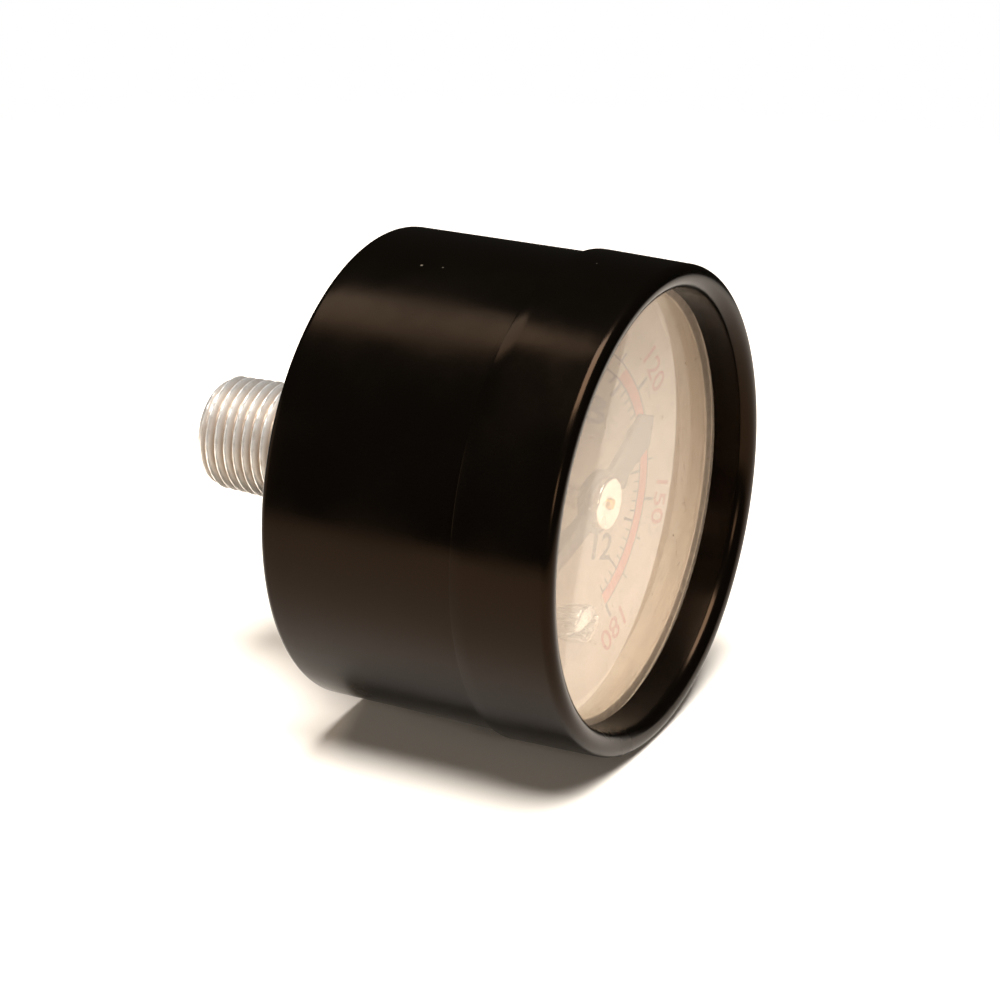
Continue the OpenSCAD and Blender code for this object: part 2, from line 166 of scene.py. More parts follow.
def rounded(corners: list[tuple[float, float, float]], closed: bool, steps: int = 6) -> np.ndarray:
    """Outline with its corners rounded.

    A corner of fillet radius f and half-angle h is replaced by an arc that touches both sides
    at f / tan(h) from the corner.

    Args:
        corners: (radius, forward, fillet radius) of each corner, in order.
        closed: True where the last corner joins the first.
        steps: segments of each arc.

    Returns:
        Array (n, 2) of radius and forward.
    """
    points = np.array([c[:2] for c in corners], float)
    out: list[np.ndarray] = []
    for i, (_, _, fillet) in enumerate(corners):
        end = not closed and i in (0, len(corners) - 1)
        if fillet <= 0 or end:
            out.append(points[i][None])
            continue
        here = points[i]
        to_last = points[i - 1] - here
        to_next = points[(i + 1) % len(points)] - here
        to_last /= np.linalg.norm(to_last)
        to_next /= np.linalg.norm(to_next)
        half = math.acos(np.clip(to_last @ to_next, -1, 1)) / 2
        middle = to_last + to_next
        centre = here + middle / np.linalg.norm(middle) * fillet / math.sin(half)
        start = here + to_last * fillet / math.tan(half) - centre
        stop = here + to_next * fillet / math.tan(half) - centre
        sweep = math.pi - 2 * half
        t = np.linspace(0, 1, steps + 1)[:, None]
        arc = (np.sin((1 - t) * sweep) * start + np.sin(t * sweep) * stop) / math.sin(sweep)
        out.append(centre + arc)
    return np.concatenate(out)


def turned(
    name: str,
    profile: np.ndarray,
    closed: bool = False,
    at: tuple[float, float] = (0.0, 0.0),
    segments: int = 192,
) -> bpy.types.Object:
    """Turn a profile round the gauge's axis: right = r cos(t), up = r sin(t), forward as given.

    Args:
        name: name of the new object.
        profile: array (n, 2) of radius and forward.
        closed: True where the profile is a loop, as on a ring.
        at: right and up of the axis it turns about.
        segments: steps round the axis.

    Returns:
        The turned object.
    """
    t = np.linspace(0, 2 * np.pi, segments, endpoint=False)
    radius, forward = profile[:, :1], profile[:, 1:]
    grid = np.stack([at[0] + radius * np.cos(t), at[1] + radius * np.sin(t), forward + 0 * t], axis=-1)
    return grid_mesh(name, grid, wrap_rows=closed)


def stacked(
    name: str,
    radii: np.ndarray,
    forward: np.ndarray,
    angles: np.ndarray,
    groove: np.ndarray | None = None,
    crease: float = CREASE,
) -> bpy.types.Object:
    """Surface whose radius varies with height and with angle: point = (r(i, t), t, z(i)).

    Args:
        name: name of the new object.
        radii: array (rows, angles) of radii.
        forward: array (rows, 1) or (rows, angles) of forward distances.
        angles: array of counter-clockwise angles from 3 o'clock, in radians.
        groove: array (rows, angles) of values for the groove attribute, or None.
        crease: angle in degrees past which an edge stays sharp.

    Returns:
        The object.
    """
    z = np.broadcast_to(forward, radii.shape)
    grid = np.stack([radii * np.cos(angles), radii * np.sin(angles), z], axis=-1)
    return grid_mesh(name, grid, groove=groove, crease=crease)


def flat_shape(name: str, strips: list[np.ndarray], low: float, high: float) -> bpy.types.Object:
    """Thin bars over strips, each the surface between two lines of points.

    Every strip has an inner and an outer line. Its bar is a loop of four lines (inner low,
    inner high, outer high, outer low) carried along it, with a cap at each end.

    Args:
        name: name of the new object.
        strips: arrays (2, n, 2): the inner and the outer line, in right and up.
        low: forward distance of the floor.
        high: forward distance of the roof.

    Returns:
        The object with all the bars.
    """
    points: list[np.ndarray] = []
    faces: list[list[int]] = []
    first = 0
    for inner, outer in strips:
        n = len(inner)
        edges = ((inner, low), (inner, high), (outer, high), (outer, low))
        points += [np.column_stack([line, np.full(n, z)]) for line, z in edges]
        index = first + np.arange(4 * n).reshape(4, n)
        after = np.roll(index, -1, axis=0)
        quads = np.stack([index[:, :-1], index[:, 1:], after[:, 1:], after[:, :-1]], axis=-1)
        faces += quads.reshape(-1, 4).tolist()
        faces += [index[:, 0].tolist(), index[::-1, -1].tolist()]
        first += 4 * n
    mesh = bpy.data.meshes.new(name)
    mesh.from_pydata(seat(np.concatenate(points)), [], faces)
    return finished(name, mesh)


def arc_strip(inner: float, outer: float, start: float, stop: float, step: float = 1.5) -> np.ndarray:
    """Strip between two radii, from one clock angle to another."""
    sweep = np.linspace(start, stop, max(2, int(abs(stop - start) / step) + 1))
    return np.stack([clock(sweep, inner), clock(sweep, outer)])


def tick(angle: float, inner: float, outer: float, width: float) -> np.ndarray:
    """Straight radial mark of the given width at a clock angle, as a strip."""
    along = clock(angle, 1.0)
    across = np.array([along[1], -along[0]]) * width / 2
    ends = np.array([along * inner, along * outer])
    return np.stack([ends - across, ends + across])


def lettering(
    items: list[tuple[str, float, float, float, float]], low: float, high: float, weight: float
) -> list[bpy.types.Mesh]:
    """Meshes of flat letters.

    Args:
        items: (text, clock angle, radius of its middle, height, turn) of each label.
        low: forward distance of the letters' back.
        high: forward distance of their front.
        weight: how far each stroke is fattened, as a share of the height.

    Returns:
        One mesh per label, in gauge coordinates and already placed.
    """
    cap_share = 0.73  # height of a capital as a share of the font's size
    meshes = []
    for text, angle, radius, height, turn in items:
        curve = bpy.data.curves.new("label", "FONT")
        curve.body = text
        curve.align_x, curve.align_y = "CENTER", "CENTER"
        curve.size = height / cap_share
        curve.offset = weight * height
        curve.extrude = (high - low) / 2
        curve.resolution_u = 4
        holder = bpy.data.objects.new("label", curve)
        bpy.context.scene.collection.objects.link(holder)
        bpy.context.view_layer.update()
        made = bpy.data.meshes.new_from_object(holder.evaluated_get(bpy.context.evaluated_depsgraph_get()))
        bpy.data.objects.remove(holder)
        bpy.data.curves.remove(curve)
        middle = clock(angle, radius)
        made.transform(
            Matrix.Translation((middle[0], middle[1], (low + high) / 2))
            @ Matrix.Rotation(-math.radians(turn), 4, "Z")
        )
        meshes.append(made)
    return meshes


def joined(name: str, meshes: list[bpy.types.Mesh]) -> bpy.types.Object:
    """Join meshes given in gauge coordinates into one seated object.

    Args:
        name: name of the new object.
        meshes: the meshes, which are used up.

    Returns:
        The object that holds them all.
    """
    work = bmesh.new()
    for mesh in meshes:
        work.from_mesh(mesh)
        bpy.data.meshes.remove(mesh)
    whole = bpy.data.meshes.new(name)
    work.to_mesh(whole)
    work.free()
    places = np.empty(len(whole.vertices) * 3)
    whole.vertices.foreach_get("co", places)
    whole.vertices.foreach_set("co", seat(places.reshape(-1, 3)).ravel())
    return finished(name, whole)


def dress(
    obj: bpy.types.Object,
    material: bpy.types.Material,
    body: Body | None,
    slot: str,
    *nodes: str,
) -> bpy.types.Object:
    """Give a piece its finish and its place in the assembly.

    Args:
        obj: the piece.
        material: its finish.
        body: the body that it rides on, or None for a piece that is left unattached.
        slot: the record's material slot; not used.
        nodes: frame nodes that it stands for.

    Returns:
        The piece.
    """
    obj.data.materials.clear()
    obj.data.materials.append(material)
    if body is not None:
        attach(obj, body.value)
    if nodes:
        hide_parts(*nodes)
    LOG.info("%s: %d faces, %s, %s", obj.name, len(obj.data.polygons), material.name, body)
    return obj


def redress(node: str, material: bpy.types.Material) -> None:
    """Give a frame node that keeps its own shape a finish."""
    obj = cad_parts[node]
    for entry in obj.material_slots:
        entry.material = material
    if not obj.material_slots:
        obj.data.materials.append(material)
    LOG.info("%s keeps its shape, in %s", node, material.name)


# ---------------------------------------------------------------- finishes


def linear(code: str) -> tuple[float, float, float, float]:
    """Turn an sRGB hex colour such as "#c8a060" into the linear RGBA that shaders take."""
    channels = [int(code[i : i + 2], 16) / 255 for i in (1, 3, 5)]
    light = [c / 12.92 if c <= 0.04045 else ((c + 0.055) / 1.055) ** 2.4 for c in channels]
    return (light[0], light[1], light[2], 1.0)


def put(
    tree: bpy.types.NodeTree, kind: str, inputs: dict | None = None, **settings: object
) -> bpy.types.Node:
    """Add a node with its settings, and fill its inputs with values or links.

    Args:
        tree: the node tree.
        kind: the node's type.
        inputs: input name or number to a value, or to the output socket to link from.
        settings: the node's own properties.

    Returns:
        The new node.
    """
    made = tree.nodes.new(kind)
    for key, value in settings.items():
        setattr(made, key, value)
    for key, value in (inputs or {}).items():
        if isinstance(value, bpy.types.NodeSocket):
            tree.links.new(value, made.inputs[key])
        else:
            made.inputs[key].default_value = value
    return made


def ramp(
    tree: bpy.types.NodeTree,
    source: bpy.types.NodeSocket,
    low: float = 0.0,
    high: float = 1.0,
    start: float = 0.0,
    stop: float = 1.0,
) -> bpy.types.NodeSocket:
    """Stretch source so that low becomes start and high becomes stop, clamped."""
    inputs = {"Value": source, "From Min": low, "From Max": high, "To Min": start, "To Max": stop}
    return put(tree, "ShaderNodeMapRange", inputs).outputs["Result"]


def mixed(
    tree: bpy.types.NodeTree,
    factor: bpy.types.NodeSocket,
    first: str | bpy.types.NodeSocket,
    second: str | bpy.types.NodeSocket,
) -> bpy.types.NodeSocket:
    """Colour between two, each given as hex or as a socket, by a factor."""
    one, other = (linear(c) if isinstance(c, str) else c for c in (first, second))
    return put(tree, "ShaderNodeMix", {0: factor, 6: one, 7: other}, data_type="RGBA").outputs[2]


def times(
    tree: bpy.types.NodeTree, first: bpy.types.NodeSocket | float, second: bpy.types.NodeSocket | float
) -> bpy.types.NodeSocket:
    """Product of two values."""
    return put(tree, "ShaderNodeMath", {0: first, 1: second}, operation="MULTIPLY").outputs[0]


def larger(
    tree: bpy.types.NodeTree, first: bpy.types.NodeSocket, second: bpy.types.NodeSocket
) -> bpy.types.NodeSocket:
    """The larger of two values."""
    return put(tree, "ShaderNodeMath", {0: first, 1: second}, operation="MAXIMUM").outputs[0]


def blank(name: str) -> tuple[bpy.types.Material, bpy.types.NodeTree, bpy.types.NodeSocket, bpy.types.Node]:
    """Start a material.

    Args:
        name: the material's name.

    Returns:
        The material, its empty tree, the object coordinates and the output node.
    """
    material = bpy.data.materials.new(name)
    material.use_nodes = True
    tree = material.node_tree
    tree.nodes.clear()
    place = put(tree, "ShaderNodeTexCoord").outputs["Object"]
    return material, tree, place, put(tree, "ShaderNodeOutputMaterial")


def noise(
    tree: bpy.types.NodeTree, place: bpy.types.NodeSocket, size_mm: float, detail: float = 3.0
) -> bpy.types.NodeSocket:
    """Cloudy pattern whose features are about size_mm across."""
    inputs = {"Vector": place, "Scale": 1 / (size_mm * MM), "Detail": detail}
    return put(tree, "ShaderNodeTexNoise", inputs).outputs["Fac"]


def relief(
    tree: bpy.types.NodeTree, height: bpy.types.NodeSocket, height_mm: float
) -> bpy.types.NodeSocket:
    """Normals of a surface that is raised by height_mm where height is 1."""
    inputs = {"Height": height, "Distance": height_mm * MM, "Strength": 1.0}
    return put(tree, "ShaderNodeBump", inputs).outputs["Normal"]


def principled(tree: bpy.types.NodeTree, inputs: dict) -> bpy.types.NodeSocket:
    """Principled surface with the given inputs."""
    return put(tree, "ShaderNodeBsdfPrincipled", inputs).outputs[0]


def specks(
    tree: bpy.types.NodeTree, place: bpy.types.NodeSocket, apart_mm: float, size_mm: float, share: float
) -> bpy.types.NodeSocket:
    """Sparse round specks: 1 inside a speck and 0 outside.

    Args:
        tree: the node tree.
        place: coordinates.
        apart_mm: spacing of the cells that may hold a speck.
        size_mm: radius of a speck.
        share: share of the cells that hold one.

    Returns:
        The mask.
    """
    inputs = {"Vector": place, "Scale": 1 / (apart_mm * MM)}
    cells = put(tree, "ShaderNodeTexVoronoi", inputs)
    radius = size_mm / apart_mm
    spot = ramp(tree, cells.outputs["Distance"], radius, radius * 0.55)
    chance = put(tree, "ShaderNodeSeparateColor", {0: cells.outputs["Color"]}).outputs[0]
    chosen = put(tree, "ShaderNodeMath", {0: chance, 1: 1 - share}, operation="GREATER_THAN").outputs[0]
    return times(tree, spot, chosen)


def scratches(
    tree: bpy.types.NodeTree, place: bpy.types.NodeSocket, turn: float, apart_mm: float, share: float
) -> bpy.types.NodeSocket:
    """Short straight hairlines: sparse specks in coordinates pressed together across one line.

    Args:
        tree: the node tree.
        place: coordinates.
        turn: direction of the lines across the dial, in degrees.
        apart_mm: spacing of the cells that may hold a line.
        share: share of the cells that hold one.

    Returns:
        The mask.
    """
    turned_place = put(
        tree, "ShaderNodeMapping", {"Vector": place, "Rotation": (0.0, math.radians(turn), 0.0)}
    ).outputs[0]
    pressed = put(tree, "ShaderNodeMapping", {"Vector": turned_place, "Scale": (1.0, 1.0, 16.0)}).outputs[0]
    return specks(tree, pressed, apart_mm, 0.3 * apart_mm, share)


@dataclass(frozen=True)
class Enamel:
    """Sprayed and stoved gloss enamel on steel: deep black, faint orange peel, a little dust."""

    name: str = "black_stoving_enamel_on_steel"
    colour: str = "#040302"
    dust: str = "#5a5248"
    gloss_tint: str = "#ffc99c"
    gloss_level: float = 0.15
    roughness: float = 0.14
    dull: float = 0.62
    film_mm: float = 9.0
    film_share: float = 0.35
    peel_mm: float = 1.4
    peel_height_mm: float = 0.004
    speck_apart_mm: float = 3.6
    speck_mm: float = 0.16
    speck_share: float = 0.16
    speck_cover: float = 0.8

    def material(self) -> bpy.types.Material:
        """Build the enamel: a dark dielectric, dulled by a cloudy film and dusted with specks."""
        material, tree, place, out = blank(self.name)
        dust = specks(tree, place, self.speck_apart_mm, self.speck_mm, self.speck_share)
        film = ramp(tree, noise(tree, place, self.film_mm, 5.0), 0.35, 0.75)
        dulled = larger(tree, dust, times(tree, film, self.film_share))
        shader = principled(
            tree,
            {
                "Base Color": mixed(tree, times(tree, dust, self.speck_cover), self.colour, self.dust),
                "Roughness": ramp(tree, dulled, start=self.roughness, stop=self.dull),
                "IOR": 1.4,
                "Specular IOR Level": self.gloss_level,
                "Specular Tint": linear(self.gloss_tint),
                "Normal": relief(tree, noise(tree, place, self.peel_mm, 2.0), self.peel_height_mm),
            },
        )
        tree.links.new(shader, out.inputs["Surface"])
        return material


@dataclass(frozen=True)
class Metal:
    """Metal with a worked surface: cloudy tarnish, and fine marks along or round the axis."""

    name: str
    colour: str
    stain: str
    roughness: float = 0.3
    stain_share: float = 0.35
    mark_mm: float = 0.12
    mark_height_mm: float = 0.003
    stretch: tuple[float, float, float] = (1.0, 12.0, 1.0)

    def material(self) -> bpy.types.Material:
        """Build the metal from stretched tool marks and a cloudy stain."""
        material, tree, place, out = blank(self.name)
        longer = put(
            tree, "ShaderNodeMapping", {"Vector": place, "Scale": tuple(1 / s for s in self.stretch)}
        ).outputs[0]
        marks = noise(tree, longer, self.mark_mm, 2.0)
        cloud = ramp(tree, noise(tree, place, 2.2, 5.0), 0.42, 0.72)
        worn = larger(tree, ramp(tree, marks, 0.3, 0.9), cloud)
        dullest = min(1.0, self.roughness * 1.5)
        shader = principled(
            tree,
            {
                "Base Color": mixed(tree, times(tree, cloud, self.stain_share), self.colour, self.stain),
                "Metallic": 1.0,
                "Roughness": ramp(tree, worn, start=self.roughness * 0.75, stop=dullest),
                "Normal": relief(tree, marks, self.mark_height_mm),
            },
        )
        tree.links.new(shader, out.inputs["Surface"])
        return material


@dataclass(frozen=True)
class PlatedThread:
    """Zinc plate over a cut thread: bright crests, painted shade that darkens and dulls the roots, and dull
    brown dirt in patches.
    """

    name: str = "zinc_plated_cut_thread"
    crest: str = "#dcdad6"
    # root: brown of the painted shade in the thread's roots and the bore, and of the dirt patches.
    root: str = "#84694c"
    metallic: float = 0.72
    roughness: float = 0.3
    dull: float = 0.55
    root_share: float = 0.8
    patch_share: float = 0.5
    pit_mm: float = 0.22
    pit_height_mm: float = 0.012

    def material(self) -> bpy.types.Material:
        """Build the plate: the groove attribute darkens and dulls the roots as painted shade, and cloudy
        patches add dirt.
        """
        material, tree, place, out = blank(self.name)
        groove = put(tree, "ShaderNodeAttribute", attribute_name="groove").outputs["Fac"]
        cloud = ramp(tree, noise(tree, place, 1.1, 5.0), 0.4, 0.7)
        # Painted shade from the groove attribute, in the roots and the bore, joined with cloudy dirt patches.
        dirt = larger(tree, times(tree, groove, self.root_share), times(tree, cloud, self.patch_share))
        shader = principled(
            tree,
            {
                "Base Color": mixed(tree, dirt, self.crest, self.root),
                "Metallic": self.metallic,
                "Roughness": ramp(tree, dirt, start=self.roughness, stop=self.dull),
                "Normal": relief(tree, noise(tree, place, self.pit_mm, 4.0), self.pit_height_mm),
            },
        )
        tree.links.new(shader, out.inputs["Surface"])
        return material


@dataclass(frozen=True)
class Coating:
    """Matt coating, plastic or rubber: an even colour with faint clouds and a fine texture."""

    name: str
    colour: str
    shade: str
    roughness: float = 0.6
    cloud_mm: float = 5.0
    grain_mm: float = 0.25
    grain_height_mm: float = 0.004
    speck: str = "#6f665a"
    speck_share: float = 0.0
    speck_apart_mm: float = 1.5
    speck_mm: float = 0.11
    speck_cover: float = 0.7

    def material(self) -> bpy.types.Material:
        """Build the coating from two tones in clouds, a fine grain and optional specks."""
        material, tree, place, out = blank(self.name)
        cloud = ramp(tree, noise(tree, place, self.cloud_mm, 6.0), 0.3, 0.75)
        colour = mixed(tree, cloud, self.colour, self.shade)
        if self.speck_share:
            spots = specks(tree, place, self.speck_apart_mm, self.speck_mm, self.speck_share)
            colour = mixed(tree, times(tree, spots, self.speck_cover), colour, self.speck)
        bump = relief(tree, noise(tree, place, self.grain_mm, 3.0), self.grain_height_mm)
        inputs = {"Base Color": colour, "Roughness": self.roughness, "IOR": 1.46, "Normal": bump}
        tree.links.new(principled(tree, inputs), out.inputs["Surface"])
        return material


@dataclass(frozen=True)
class LensPlastic:
    """Moulded clear acrylic: polished, then hazed by handling, with specks and hairlines on it."""

    name: str = "clear_acrylic_hazed_and_scratched"
    tint: str = "#fbf6ee"
    shadow_tint: str = "#f4efe6"
    haze: str = "#b9a692"
    haze_share: float = 0.3
    haze_spread: float = 0.15
    scratch: str = "#574434"
    speck_cover: float = 0.9
    scratch_cover: float = 0.6
    front_facing: float = -0.5

    def marks(self, tree: bpy.types.NodeTree, place: bpy.types.NodeSocket) -> bpy.types.NodeSocket:
        """Mask of the specks and of the hairlines, which run in two directions."""
        one, other = scratches(tree, place, 35.0, 2.2, 0.05), scratches(tree, place, -50.0, 3.0, 0.06)
        lines = times(tree, larger(tree, one, other), self.scratch_cover)
        return larger(tree, times(tree, specks(tree, place, 1.1, 0.13, 0.22), self.speck_cover), lines)

    def material(self) -> bpy.types.Material:
        """Build the lens: refracting plastic that lets direct light through, under a thin film.

        The film and the marks lie only on the outer face, whose normal looks forward (-Y).
        """
        material, tree, place, out = blank(self.name)
        glass = {"Base Color": linear(self.tint), "Roughness": 0.02, "IOR": 1.49}
        clear = principled(tree, glass | {"Transmission Weight": 1.0})
        through = put(tree, "ShaderNodeBsdfTransparent", {"Color": linear(self.shadow_tint)}).outputs[0]
        shadow = put(tree, "ShaderNodeLightPath").outputs["Is Shadow Ray"]
        plastic = put(tree, "ShaderNodeMixShader", {0: shadow, 1: clear, 2: through}).outputs[0]
        mask = self.marks(tree, place)
        thin, thick = (self.haze_share * (1 + s * self.haze_spread) for s in (-1, 1))
        film = ramp(tree, noise(tree, place, 4.0, 6.0), 0.3, 0.75, thin, thick)
        tone = mixed(tree, mask, self.haze, self.scratch)
        dirt = principled(tree, {"Base Color": tone, "Roughness": 0.8, "IOR": 1.4})
        normal = put(tree, "ShaderNodeNewGeometry").outputs["Normal"]
        front = put(tree, "ShaderNodeSeparateXYZ", {0: normal}).outputs["Y"]
        inputs = {0: front, 1: self.front_facing}
        outside = put(tree, "ShaderNodeMath", inputs, operation="LESS_THAN").outputs[0]
        cover = times(tree, larger(tree, mask, film), outside)
        whole = put(tree, "ShaderNodeMixShader", {0: cover, 1: plastic, 2: dirt}).outputs[0]
        tree.links.new(whole, out.inputs["Surface"])
        return material


# ---------------------------------------------------------------- sub-assemblies


@dataclass
class CaseShell:
    """Deep-drawn steel cup with a flat back, and the places of the screws that hold it."""

    back_radius: float = 20.5
    step_radius: float = 20.6
    slope: float = 0.0176
    wall: float = 0.6
    floor: float = 0.7
    corner: float = 0.6
    front: float = 24.0
    hole_radius: float = 7.4
    screw_circle: float = 10.2
    dial_screw_circle: float = 11.5
    screw_angles: tuple[float, float] = (-25.0, 155.0)
    enamel: Enamel = field(default_factory=Enamel)

    def build(self, step_height: float) -> None:
        """Make the cup, whose wall narrows by slope in front of the bezel's rear edge.

        Args:
            step_height: forward distance of the bezel's rear edge.
        """
        front_radius = self.step_radius - self.slope * (self.front - step_height)
        profile = rounded(
            [
                (self.hole_radius, 0.0, 0.12),
                (self.back_radius, 0.0, self.corner),
                (self.step_radius, step_height, 0.0),
                (front_radius, self.front, 0.2),
                (front_radius - self.wall, self.front, 0.2),
                (self.back_radius - self.wall, self.floor, 0.3),
                (self.hole_radius, self.floor, 0.12),
            ],
            closed=True,
            steps=8,
        )
        shell = turned("case_shell", refined(profile, 1.2), closed=True, segments=256)
        dress(shell, self.enamel.material(), Body.HOUSING, "case_paint", "case")


def refined(profile: np.ndarray, longest: float) -> np.ndarray:
    """Split the long sides of a closed profile so that no side is longer than longest."""
    after = np.roll(profile, -1, axis=0)
    parts = np.maximum(1, np.ceil(np.linalg.norm(after - profile, axis=1) / longest)).astype(int)
    splits = zip(profile, after, parts)
    return np.concatenate([a + (b - a) * np.linspace(0, 1, n, endpoint=False)[:, None] for a, b, n in splits])


@dataclass
class Bezel:
    """Ring of rolled steel: a skirt over the case, a broad lip, and a wall down to the lens."""

    rear_radius: float = 21.04
    front_radius: float = 20.9
    sheet: float = 0.42
    corner: float = 0.9
    window_radius: float = 18.75
    hem: tuple[tuple[float, float], ...] = ((-0.12, 0.0), (-0.02, 0.05), (0.0, 0.16))
    lens_gap: float = 0.02
    enamel: Enamel = field(
        default_factory=lambda: Enamel(name="black_enamel_on_rolled_bezel", roughness=0.13)
    )

    def build(self, rear: float, crest: float, lens_face: float) -> None:
        """Make the ring from an outer line and the same line one sheet further in.

        The rear edge is rounded by hem: radius and height against the skirt's corner.

        The lip is a quarter circle of the corner's radius outside and a larger quarter circle
        inside, which meet at the crest; the window's wall goes down from the inner one.

        Args:
            rear: forward distance of the rear edge.
            crest: forward distance of the lip's crest.
            lens_face: forward distance of the lens's outer face.
        """
        top = self.front_radius - self.corner
        fold = top - self.window_radius
        t = np.linspace(0, np.pi / 2, 16)

        def lip(inset: float) -> np.ndarray:
            """Both quarter circles, moved inwards by inset."""
            outer_arc, inner_arc = self.corner - inset, fold - inset
            outer = [top + outer_arc * np.cos(t), crest - self.corner + outer_arc * np.sin(t)]
            inner = [top - inner_arc * np.sin(t[1:]), crest - fold + inner_arc * np.cos(t[1:])]
            return np.concatenate([np.transpose(outer), np.transpose(inner)])

        foot = lens_face + self.lens_gap
        profile = np.concatenate(
            [
                [[self.rear_radius + across, rear + along] for across, along in self.hem],
                lip(0.0),
                [[self.window_radius, foot], [self.window_radius + self.sheet, foot]],
                lip(self.sheet)[::-1],
                [[self.rear_radius - self.sheet, rear]],
            ]
        )
        ring = turned("bezel_rolled", refined(profile, 1.2), closed=True, segments=256)
        dress(ring, self.enamel.material(), Body.HOUSING, "bezel_paint", "bezel_ring")


@dataclass
class Window:
    """The lens, its gasket and the white ring that spaces it off the dial."""

    radius: float = 19.6
    ring_radius: float = 18.4
    gasket_radius: float = 18.25

    def build(self, dial_face: float, lens_back: float, lens_front: float, gasket: float) -> None:
        """Make the three round pieces between dial and bezel.

        Args:
            dial_face: forward distance of the dial's printed face.
            lens_back: forward distance of the lens's inner face.
            lens_front: forward distance of the lens's outer face.
            gasket: thickness of the gasket.
        """
        lens = rounded(
            [
                (0.0, lens_back, 0.0),
                (self.radius, lens_back, 0.25),
                (self.radius, lens_front, 0.25),
                (0.0, lens_front, 0.0),
            ],
            closed=False,
        )
        dress(turned("lens_disc", lens), LensPlastic().material(), Body.HOUSING, "lens_clear", "lens")
        seal = rounded(
            [
                (self.gasket_radius, lens_back - gasket, 0.15),
                (self.radius, lens_back - gasket, 0.05),
                (self.radius, lens_back, 0.05),
                (self.gasket_radius, lens_back, 0.15),
            ],
            closed=True,
        )
        rubber = Coating("moulded_pale_rubber", "#c6b8a8", "#b8aa9a", roughness=0.55, grain_mm=0.3)
        gasket_ring = turned("gasket_ring", seal, closed=True)
        dress(gasket_ring, rubber.material(), Body.HOUSING, "gasket", "lens_gasket")
        spacer = rounded(
            [
                (self.ring_radius, dial_face, 0.0),
                (self.radius, dial_face, 0.0),
                (self.radius, lens_back - gasket, 0.1),
                (self.ring_radius, lens_back - gasket, 0.2),
            ],
            closed=True,
        )
        white = Coating("moulded_white_abs", "#cbbfb1", "#c3b6a7", roughness=0.45, grain_mm=0.4)
        white_ring = turned("spacer_white", spacer, closed=True)
        dress(white_ring, white.material(), Body.HOUSING, "white_ring", "spacer_ring")


